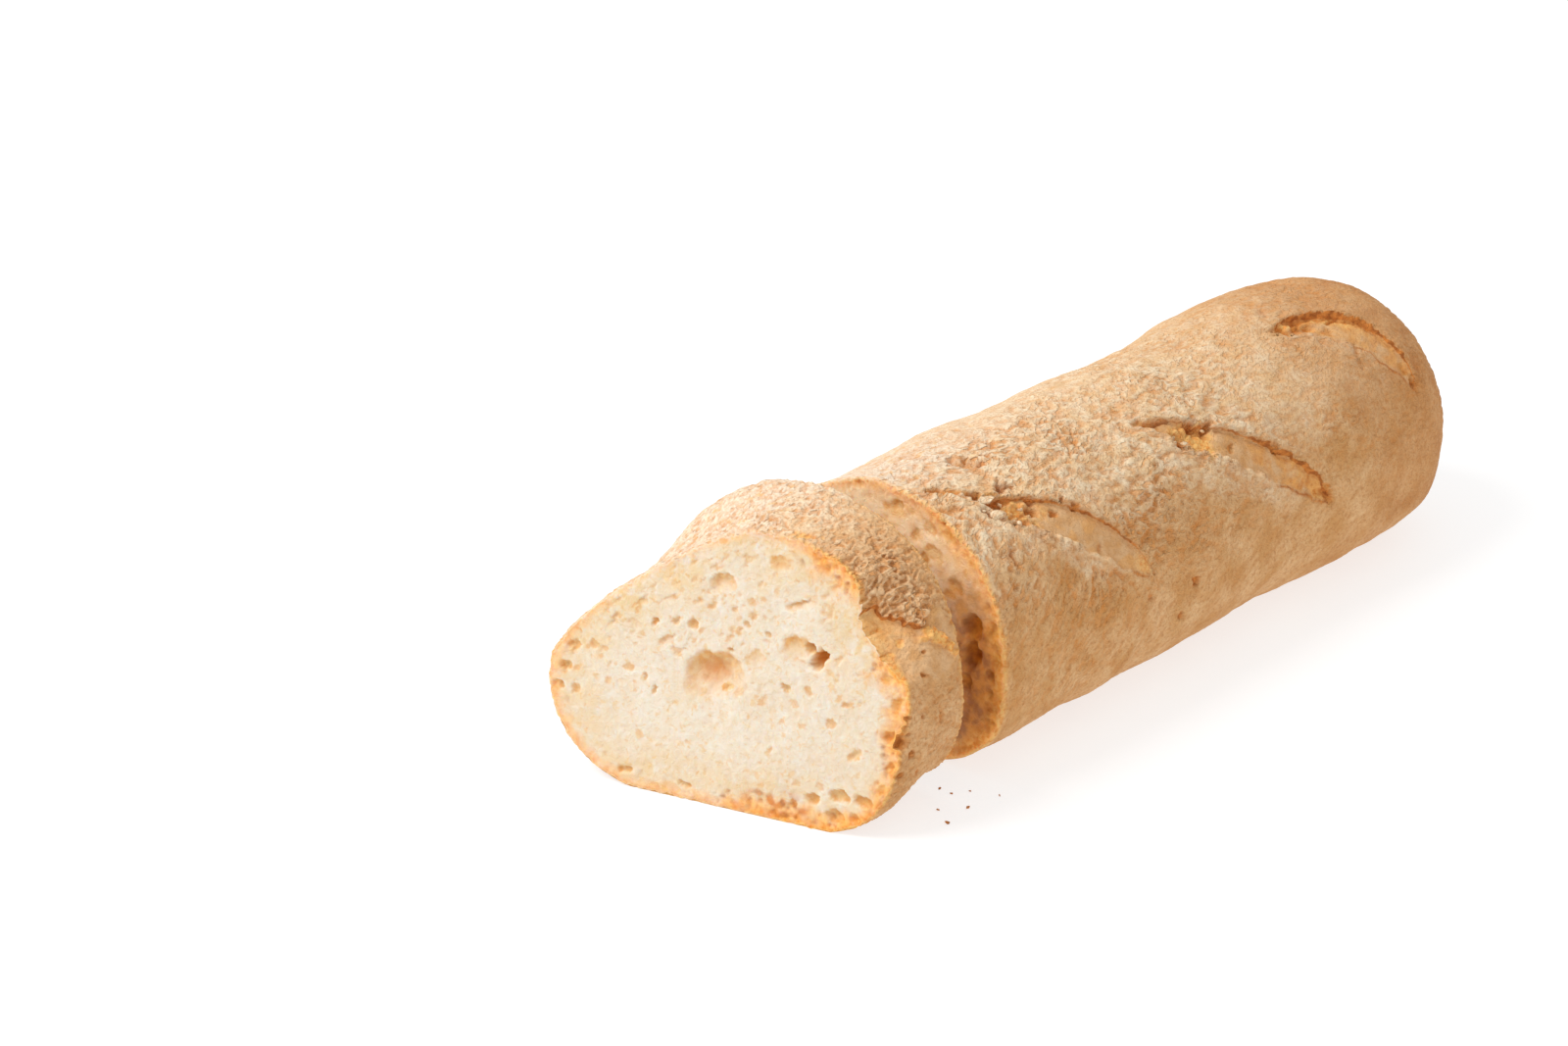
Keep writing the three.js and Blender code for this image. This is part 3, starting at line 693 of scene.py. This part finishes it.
# --- Materials ---
class Nodes:
    """Short calls for building a node tree."""

    def __init__(self, name):
        self.material = bpy.data.materials.new(name)
        self.material.use_nodes = True
        self.tree = self.material.node_tree
        self.tree.nodes.clear()
        self.shader = self.add("BsdfPrincipled", {})
        self.add("OutputMaterial", {"Surface": self.shader.outputs["BSDF"]})
        self.place = self.add("TexCoord", {}).outputs["Object"]

    def add(self, kind, inputs, **settings):
        """A node whose inputs are numbers, colour codes or outputs of other nodes."""
        node = self.tree.nodes.new("ShaderNode" + kind)
        for key, value in settings.items():
            setattr(node, key, value)
        self.feed(node, inputs)
        return node

    def feed(self, node, inputs):
        for key, value in inputs.items():
            if isinstance(value, bpy.types.NodeSocket):
                self.tree.links.new(value, node.inputs[key])
            else:
                node.inputs[key].default_value = rgb(value) if isinstance(value, str) else value

    def share(self, name):
        return self.add("Attribute", {}, attribute_name=name).outputs["Fac"]

    def math(self, operation, a, b=0.0, clamp=False):
        return self.add("Math", {0: a, 1: b}, operation=operation, use_clamp=clamp).outputs[0]

    def times(self, first, *others):
        for other in others:
            first = self.math("MULTIPLY", first, other)
        return first

    def plus(self, first, *others):
        for other in others:
            first = self.math("ADD", first, other)
        return first

    def rest(self, value):
        return self.math("SUBTRACT", 1.0, value)

    def noise(self, size_mm, detail, distortion=0.0, roughness=0.5, long=1.0, turn=(0, 0, 0)):
        """Noise, drawn out long times along X as turned by those degrees."""
        place = self.place
        if long != 1.0:
            inputs = {"Scale": (long, 1, 1), "Rotation": [math.radians(v) for v in turn], "Vector": place}
            place = self.add("Mapping", inputs, vector_type="TEXTURE").outputs[0]
        inputs = {"Vector": place, "Scale": 1 / (size_mm * MM), "Detail": detail, "Roughness": roughness}
        return self.add("TexNoise", {**inputs, "Distortion": distortion}).outputs["Fac"]

    def ramp(self, value, low, high):
        inputs = {"Value": value, "From Min": low, "From Max": high}
        return self.add("MapRange", inputs, clamp=True).outputs["Result"]

    def spots(self, size_mm, detail, low, high, *shape):
        """Noise ramped from 0 at low to 1 at high; shape goes on as the other arguments of noise."""
        return self.ramp(self.noise(size_mm, detail, *shape), low, high)

    def wrinkles(self, size_mm, long=1.0, turn=(0, 0, 0)):
        """Puffs with short creases between them, from 0 in a crease to 1."""
        return self.spots(size_mm, 1.5, 0.37, 0.52, 0.35, 0.5, long, turn)

    def mix(self, share, a, b, kind="RGBA"):
        return self.add("Mix", {"Factor": share, "A": a, "B": b}, data_type=kind).outputs["Result"]

    def coat(self, colour, coat, share, amount=None):
        """Colour under a coat that covers it by an amount of a share, given by name or as an output."""
        share = self.share(share) if isinstance(share, str) else share
        return self.mix(self.times(share, amount) if amount else share, colour, coat)

    def mottled(self, a, b, size_mm, detail, low=0.4, high=0.6, *shape):
        """Two colours, in spots."""
        return self.mix(self.spots(size_mm, detail, low, high, *shape), a, b)

    def bump(self, height, distance_mm, strength=1.0, **under):
        inputs = {"Height": height, "Distance": distance_mm * MM, "Strength": strength}
        return self.add("Bump", {**inputs, **under}).outputs[0]

    def finish(self, inputs):
        self.feed(self.shader, inputs)
        return self.material


FACE_LIGHT = 1.25  # how much brighter than the crust the cut faces look in the studio light


def rgb(code, light=1.0):
    """Base colour of what looks like this sRGB colour (RRGGBB in hexadecimal) in that much light."""
    parts = [v / 255 for v in bytes.fromhex(code)]
    linear = [v / 12.92 if v <= 0.04045 else ((v + 0.055) / 1.055) ** 2.4 for v in parts]
    return [v / light for v in linear] + [1.0]


def lit(code):
    return rgb(code, FACE_LIGHT)


def crust_material():
    n = Nodes("crust")
    crackle, ashen, torn = n.share("crackle"), n.share("ashen"), n.share("torn")
    # ridges too small for the mesh: they lie along the top and climb the side under the first score
    climbing = n.wrinkles(1.0, 2.3, (0, 0, -22)), n.wrinkles(0.95, 1.8, (0, 0, 24))
    climbing = n.mix(n.spots(9.0, 1, 0.46, 0.54), *climbing, "FLOAT")
    ridges = n.mix(n.share("flat"), n.wrinkles(0.95, 2.5, (0, -48, 0)), climbing, "FLOAT")
    grain = n.wrinkles(0.55)
    gap = n.times(n.rest(ridges), crackle)
    # plain tan crust under flour, baked darker towards the tip and paler at the top by the cut
    tan = n.mottled("ce9b62", "e3b987", 7.0, 3, 0.36, 0.64)
    tan = n.coat(tan, "be8650", n.spots(1.5, 4, 0.5, 0.72, 0.0, 0.5, 2.4, (0, -40, 0)), 0.6)
    tan = n.coat(tan, "c88e52", n.spots(17.0, 2, 0.44, 0.6), 0.22)
    flour = n.mottled("ecca9d", "f4e1c1", 3.2, 4, 0.35, 0.65)
    floury = n.times(n.share("floury"), n.mix(n.spots(2.0, 4, 0.35, 0.6), 0.72, 1.0, "FLOAT"))
    colour = n.mix(floury, tan, flour)
    baked = n.mottled("d09a64", "b27138", 8.0, 6, 0.38, 0.64, 0.4, 0.6)
    baked = n.coat(baked, "d8a872", n.spots(1.1, 4, 0.48, 0.7, 0.3), 0.45)
    colour = n.coat(colour, baked, "baked")
    pale = n.mottled("f0dfc8", "f0c794", 1.6, 4, 0.52, 0.68, 0.3)
    colour = n.coat(colour, pale, "pale")
    cap = n.mottled("deb487", "e8c79e", 2.4, 4, 0.35, 0.65)
    colour = n.mix(n.times(ashen, 0.8), colour, cap)
    # gaps between the ridges, grit and creases; gaps and creases darker and warmer, partly browner crust and
    # partly painted shade
    colour = n.mix(n.times(gap, 0.62), colour, n.mix(ashen, "dc9148", "cc8846"))
    colour = n.mix(n.times(n.rest(grain), 0.25), colour, "d49050")
    grit = n.times(n.spots(0.8, 3, 0.5, 0.7, 0.3), n.mix(n.share("floury"), 0.5, 0.2, "FLOAT"))
    colour = n.mix(grit, colour, "b07038")
    # creases: browner crust with painted shade
    colour = n.coat(colour, n.mix(ashen, "d28234", "c07836"), "crease", 0.6)
    # underside, and floors of the scores
    colour = n.coat(colour, n.mottled("ce9454", "b87a3e", 2.0, 4, 0.35, 0.65), "base")
    floor = n.mottled("d29e68", "e0b484", 2.6, 3)
    floor = n.coat(floor, "e8a85e", n.spots(4.5, 2, 0.54, 0.64, 0.6), 0.5)
    toasted = n.times(n.share("toast"), n.spots(3.4, 3, 0.42, 0.6, 0.5))
    floor = n.mix(toasted, floor, n.mottled("eaa65a", "d08642", 1.6, 2))
    floor = n.coat(floor, n.mottled("eaba7c", "e4a45c", 1.6, 3, 0.38, 0.62), "yolk")
    colour = n.coat(colour, floor, "bare", 0.88)
    # cream and gold where the crust is torn, brown pits that are partly browned crust and partly painted shade
    # in their hollows
    cream = n.mottled("f6d8a8", "eeb874", 1.4, 4, 0.45, 0.68)
    colour = n.coat(colour, cream, "cream")
    golden = n.mottled("f8c676", "ea943e", 0.8, 3, 0.4, 0.65)
    colour = n.coat(colour, golden, "gold", 0.85)
    colour = n.coat(colour, n.mottled("d47e30", "aa5c1c", 0.9, 2), "pit")
    # near lip: pale where it is raised, brown where it is singed
    beside = n.math("ABSOLUTE", n.plus(n.share("lip"), n.times(n.noise(2.4, 3), 1.6), -0.45))
    brim = n.times(n.rest(n.ramp(beside, 0.05, 0.62)), n.ramp(n.share("brim"), 0.05, 0.4))
    brim = n.times(brim, n.spots(3.5, 3, 0.36, 0.66))
    colour = n.mix(brim, colour, "f2cea0")
    singe = n.times(n.rest(n.ramp(beside, 0.0, 0.5)), n.ramp(n.share("singe"), 0.05, 0.4))
    singe = n.times(singe, n.spots(2.5, 3, 0.3, 0.5))
    colour = n.mix(singe, colour, n.mottled("d2843e", "b0662e", 1.5, 2))
    # far edge: a painted warm glow of light through the thin floor beside it, and along it a brown tear that is
    # also painted shadow under the ear
    beneath = n.math("MULTIPLY", n.share("bare"), torn, True)
    glow = n.times(n.rest(n.ramp(n.share("gap"), 0.2, 3.2)), beneath, n.spots(4.0, 3, 0.4, 0.6), 0.75)
    colour = n.mix(glow, colour, n.mottled("eeb068", "ce823e", 1.5, 2))
    apart = n.math("ABSOLUTE", n.plus(n.share("gap"), n.times(n.noise(1.2, 3), 0.5), -0.42))
    thin = n.math("DIVIDE", apart, n.math("MAXIMUM", torn, 0.05))
    # the tear line: browner torn crust, and painted shadow under the overhanging ear
    ear_shadow_and_tear = n.math("MULTIPLY", n.rest(n.ramp(thin, 0.1, 0.36)), n.times(torn, 2.0), True)
    colour = n.mix(n.times(ear_shadow_and_tear, 0.95), colour, n.mottled("d6843c", "a65e26", 1.5, 2))
    puff = n.plus(n.times(ridges, crackle, 0.75), n.times(grain, 0.25))
    normal = n.bump(puff, 0.36)
    return n.finish({"Base Color": colour, "Normal": normal, "Roughness": 0.85, "Specular IOR Level": 0.22})


def crumb_material():
    n = Nodes("crumb")
    leaning = (0.5, 0.5, 1.8, (-30, 0, 0))  # distortion, roughness and stretch of what follows the strands
    cream = n.mottled(lit("fdf0dc"), lit("fae7cc"), 8.0, 3, 0.36, 0.66)
    cream = n.coat(cream, lit("f6d8ac"), n.spots(1.0, 4, 0.5, 0.7, 0.4, *leaning[1:]), 0.4)
    cream = n.coat(cream, lit("fffaee"), n.spots(1.7, 3, 0.5, 0.68, 0.5), 0.5)
    cream = n.mix(n.times(n.share("warmth"), n.spots(2.2, 4, 0.34, 0.58, *leaning), 0.95), cream, lit("fbddac"))
    pits = n.rest(n.spots(1.2, 2, 0.31, 0.41, 0.6, 0.5, 1.5, (-30, 0, 0)))
    cream = n.mix(n.times(pits, 0.5), cream, lit("face8c"))
    # painted shade: golden in the foam cells, the bubbles and pores, orange in the deepest bubbles
    colour = n.mix(n.times(n.share("foam"), 0.15), cream, lit("f4c68e"))
    # painted soft shade on the loaf's cut face, where the slice stands before it
    colour = n.coat(colour, n.mottled("f7dab4", "eec48e", 4.0, 3, 0.4, 0.62), "shade")
    colour = n.coat(colour, n.mottled(lit("fbce8e"), lit("f4b160"), 1.6, 2), "hole", 0.9)
    colour = n.coat(colour, lit("e28a32"), "deep")
    # painted deeper shade low on the loaf's cut face, over browner crumb
    colour = n.coat(colour, n.mottled("cc8022", "9e5404", 2.5, 4), "dusk")
    colour = n.coat(colour, n.mottled("f7ba62", "e89332", 1.1, 3, 0.4, 0.62, 0.3), "gold")
    colour = n.coat(colour, n.mottled("d67e28", "b05e14", 1.3, 2), "line", 0.85)
    fine = n.bump(n.noise(0.6, 3, 0.3), 0.12, 0.5)
    billow = n.times(n.math("ABSOLUTE", n.plus(n.noise(1.3, 2, 0.6), -0.5)), 4.0)
    normal = n.bump(billow, 0.2, 0.5, Normal=fine)
    n.finish({"Subsurface Weight": 0.7, "Subsurface Radius": (1.7, 1.2, 0.75), "Subsurface Scale": 1.0 * MM})
    return n.finish({"Base Color": colour, "Normal": normal, "Roughness": 0.65, "Specular IOR Level": 0.25})


crust, crumb = crust_material(), crumb_material()


# --- Pieces ---
def loaf():
    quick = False
    count, rings, spacing = (200, 130, 0.8) if quick else (324, 224, 0.6)
    tip = END_X - TIP_LENGTH
    fine = np.linspace(CUT_X, tip, 4000)
    body = evenly(rings + 1, fine, 1.5 - 0.7 * smooth((fine[1:] + fine[:-1]) / 2, -30, 60))
    tips = tip + TIP_LENGTH * np.sin(np.linspace(0, math.pi / 2, rings // 4 + 1)[1:-1])
    xs = np.concatenate([body, tips])
    base, normals, p, x, angle = skin_grid(*np.meshgrid(xs, ring_angles(0.0, count), indexing="ij"))
    # crackle: strongest on top by the cut, fainter on the flank there and at the back
    top, by_cut = between(angle, 48, 72, 150, 186), fall(x, -10, 50)
    flank = 0.4 * (1 - top) * fall(x, -35, 0) * fall(angle, 190, 214)
    crackled = clamp01(0.14 + top * (0.4 + 0.55 * by_cut) + flank)
    crackled += 0.22 * fall(angle, 30, 60) + 0.22 * smooth(angle, 300, 330)
    from_tip = np.hypot(p[:, 1] - AXIS_Y, p[:, 2] - WIDEST_Z)
    crackled = clamp01(crackled * (0.8 + 0.5 * noise(p / 13, 80))) * smooth(from_tip, 6, 16)
    crackled *= 1 - 0.45 * between(angle, 20, 50, 80, 102) * fall(x, 0, 40)
    flat = 1 - smooth(place_in_score("a", x, angle)[1], 0, 9) * fall(x, 20, 60)
    lift, shares = crust_relief(open_scores, LOAF_MARKS, x, angle, p, crackled, flat, 1.32, 2.0)
    shares["baked"] = 0.85 * smooth(x + 8 * noise(p / 12, 87), 40, 92)
    high = smooth(angle, 20, 60) * fall(angle + 9 * noise(p / 11, 82), 128, 165)
    more(shares, floury=high * (0.95 - 0.6 * smooth(x, 12, 72)) * (1 - 0.9 * shares["bare"]))
    more(shares, gold=0.95 * LOAF_GOLD(angle) * bell(x - CUT_X, 0.75 + 0.35 * noise(p / 2, 86)))
    shares["pale"] = 0.95 * bell(x - CUT_X, 34.0) * smooth(angle, 20, 50)
    shares["pale"] *= fall(angle + 8 * noise(p / 4, 83), 82, 112)
    moved = lifted_skin(base, normals, lift, angle, p, shares)
    # ragged rim of the cut
    ragged = 0.4 * noise(base[0] / 1.3, 90) + 0.4 * noise(base[0] / 4, 91)
    moved[0, :, 0] = CUT_X + np.clip(ragged, -0.3, 0.7)
    moved[0, :, 1:] -= normals[0, :, 1:] * (0.35 + 0.3 * noise(base[0] / 1.4, 94)[:, None])
    moved[..., 2] = np.maximum(moved[..., 2], 0)
    points = moved.reshape(-1, 3)
    last, k = (len(xs) - 1) * count, np.arange(count)
    tip_point = np.array([[END_X - 0.05, AXIS_Y, WIDEST_Z]])
    tip_faces = np.stack([last + k, last + (k + 1) % count, np.full(count, len(points))], 1).tolist()
    rim = points[:count]
    inner, face_shares, tris = cut_face(
        rim, k, len(points) + 1, straight_cut(CUT_X), spacing, LOAF_BUBBLES, (500, 0.3, 1.6, 5, 0.3), -1, 11,
        LOAF_GOLD, LOAF_WARMTH, 1.3,
    )
    # the slice stands before this face: all its crumb gets painted soft shade, and low on the near side a
    # painted deeper shade over browner crumb
    face_shares["shade"] = np.full(len(inner), 0.85)
    low = fall(inner[:, 2] + 3 * noise(inner / 4, 88), 27, 43)
    face_shares["dusk"] = 0.86 * smooth(-inner[:, 1], 12, 27) * low
    groups = [(points, shares), (tip_point, {}), (inner, face_shares)]
    return make_piece("loaf_bread", groups, grid_faces(len(xs), count) + tip_faces, tris, [crust, crumb])


def slice_():
    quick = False
    count, rings, front_spacing, back_spacing = (300, 50, 0.7, 0.8) if quick else (560, 112, 0.34, 0.7)
    angles = ring_angles(-75.0, count)
    edge = np.full(count, FOOT_X)
    for _ in range(14):
        p = skin_point(edge, angles)
        edge = front_face_x(p[:, 1], p[:, 2])
    t = np.linspace(0, 1, rings + 1)[:, None]
    x, angle = mix(edge[None, :], SLICE_X, t), np.broadcast_to(angles, (rings + 1, count))
    base, normals, p, x, angle = skin_grid(x, angle)
    cap = between(angle, 98, 132, 158, 170) * (1 - 0.6 * smooth(x, -75, -71))
    crackled = 0.3 + 0.15 * smooth(angle, 160, 180) + 0.8 * cap + 0.35 * between(angle, 20, 50, 90, 120)
    crackled = np.clip(crackled + 0.15 * noise(p / 9, 81), 0, 1.3)
    lift, shares = crust_relief(sunk_score, SLICE_MARKS, x, angle, p, crackled, np.ones(len(x)), 0.85, 1.6)
    high = smooth(angle, 20, 50) * fall(angle + 6 * noise(p / 9, 82), 92, 132)
    more(shares, floury=high * (1 - shares["bare"]))
    thickness, reach = SLICE_X - edge[None, :], 0.55 + 0.3 * noise(p / 2, 86)
    more(shares, gold=0.95 * FRONT_GOLD(angle) * bell((t * thickness).ravel(), reach))
    more(shares, gold=0.8 * BACK_GOLD(angle) * bell(((1 - t) * thickness).ravel(), reach))
    shares["pale"] = 0.85 * smooth(angle, 5, 28) * fall(angle + 7 * noise(p / 4, 83), 76, 112)
    shares["ashen"] = np.maximum(cap, 0.28 * between(angle, 158, 176, 214, 236) * (1 - shares["bare"]))
    moved = lifted_skin(base, normals, lift, angle, p, shares)
    moved[..., 2] = np.maximum(moved[..., 2], 0)
    # ragged rims of the cuts
    moved[0, :, 1:] -= normals[0, :, 1:] * (0.3 + 0.3 * noise(base[0] / 1.4, 94)[:, None])
    front, back = moved[0], moved[-1]
    front[:, 0] = front_face_x(front[:, 1], front[:, 2]) + np.clip(0.3 * noise(front / 1.1, 92), -0.25, 0.4)
    back[:, 0] = SLICE_X + np.clip(0.25 * noise(base[-1] / 1.2, 93), -0.4, 0.3)
    points, k = moved.reshape(-1, 3), np.arange(count)
    front_inner, front_shares, front_tris = cut_face(
        front, k, len(points), front_face_x, front_spacing, FRONT_BUBBLES, (420, 0.22, 0.8, 6, 0.2), -1, 21,
        FRONT_GOLD, SLICE_WARMTH, aside=4,
    )
    back_inner, back_shares, back_tris = cut_face(
        back, rings * count + k, len(points) + len(front_inner), straight_cut(SLICE_X), back_spacing,
        BACK_BUBBLES, (500, 0.3, 1.4, 7, 0.25), 1, 22, BACK_GOLD, SLICE_WARMTH, 1.6,
    )
    groups = [(points, shares), (front_inner, front_shares), (back_inner, back_shares)]
    skin_faces, cut_faces = grid_faces(rings + 1, count), front_tris + back_tris
    return make_piece("slice_bread", groups, skin_faces, cut_faces, [crust, crumb])


def crumbs():
    """Angular lumps, each an uneven ball with some flat sides."""
    rng = np.random.default_rng(8)
    ball = bmesh.new()
    bmesh.ops.create_icosphere(ball, subdivisions=3, radius=1.0)
    unit = np.array([v.co[:] for v in ball.verts])
    sides = np.array([[v.index for v in f.verts] for f in ball.faces])
    ball.free()
    places = [
        (skin_point(np.array([x]), np.array([a]))[0] + (0, -0.1 * size, 0.1 * size), size, 0.0)
        for x, a, size in SKIN_CRUMBS
    ]
    places += [(np.array([x, y, 0.5 * size]), size, 0.75) for x, y, size in FLOOR_CRUMBS]
    groups, faces = [], []
    for k, (place, size, brown) in enumerate(places):
        p = unit * (1 + 0.3 * noise(unit * 1.3 + 9.7 * k, 700))[:, None]
        for _ in range(12):
            way = rng.normal(size=3)
            way /= np.linalg.norm(way)
            p = p - np.clip(p @ way - rng.uniform(0.3, 0.6), 0, None)[:, None] * way
        p = p * (1.4, rng.uniform(0.9, 1.3), rng.uniform(0.7, 1.0))
        p += 0.08 * noise(unit * 4 + 5.1 * k, 701)[:, None]
        turn = rng.uniform(0, math.tau)
        p = p @ np.array([(math.cos(turn), math.sin(turn), 0), (-math.sin(turn), math.cos(turn), 0), (0, 0, 1)])
        p = place + size * p
        p[:, 2] = np.maximum(p[:, 2], 0)
        faces += (sides + k * len(unit)).tolist()
        values = {"floury": 1 - brown, "pit": brown, "crackle": 0.6, "gap": FAR_OFF, "lip": FAR_OFF}
        groups.append((p, {key: np.full(len(unit), value) for key, value in values.items()}))
    return make_piece("crumbs", groups, faces, [], [crust])


for piece, node, slot in ((loaf(), "loaf", "crust"), (slice_(), "slice", "crumb"), (crumbs(), None, "crust")):
    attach(piece, "root")
    if node:
        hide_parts(node)
    triangles = sum(len(f.vertices) - 2 for f in piece.data.polygons)
    print(piece.name, len(piece.data.vertices), triangles, "triangles")

# --- Floor, light and camera ---
bpy.ops.mesh.primitive_plane_add(size=6.0, location=(0, 0, 0))
floor = bpy.context.object
floor.name = "floor"
ground = {"Base Color": (0.34, 0.34, 0.34, 1), "Roughness": 0.6}
ground.update({"Emission Color": (1, 1, 1, 1), "Emission Strength": 0.71})
floor.data.materials.append(Nodes("floor").finish(ground))

world = bpy.data.worlds.new("studio")
bpy.context.scene.world = world
world.use_nodes = True
sky = world.node_tree.nodes["Background"].inputs
sky["Color"].default_value, sky["Strength"].default_value = (1, 1, 1, 1), 0.69
bpy.context.scene.view_settings.view_transform = "Standard"


def placed(data, place, direction):
    """A light or camera at that place, looking in that direction."""
    obj = bpy.data.objects.new(data.name, data)
    obj.location = place
    obj.rotation_euler = direction.to_track_quat("-Z", "Y").to_euler()
    bpy.context.scene.collection.objects.link(obj)
    return obj


KEY_PLACE, KEY_SIZE, KEY_POWER = Vector((-0.60, 0.42, 0.95)), 0.6, 9.3
key = bpy.data.lights.new("key", "AREA")
key.shape, key.size, key.energy = "DISK", KEY_SIZE, KEY_POWER
placed(key, KEY_PLACE, -KEY_PLACE)

AZIMUTH, ELEVATION, DISTANCE, TARGET = math.radians(-48.8), math.radians(24), 0.9, Vector((0.0048, 0.07305, 0))
level = math.cos(ELEVATION)
back = Vector((math.sin(AZIMUTH) * level, -math.cos(AZIMUTH) * level, math.sin(ELEVATION)))
lens = bpy.data.cameras.new("camera")
lens.lens, lens.sensor_width = 100, 36
bpy.context.scene.camera = placed(lens, TARGET + back * DISTANCE, -back)
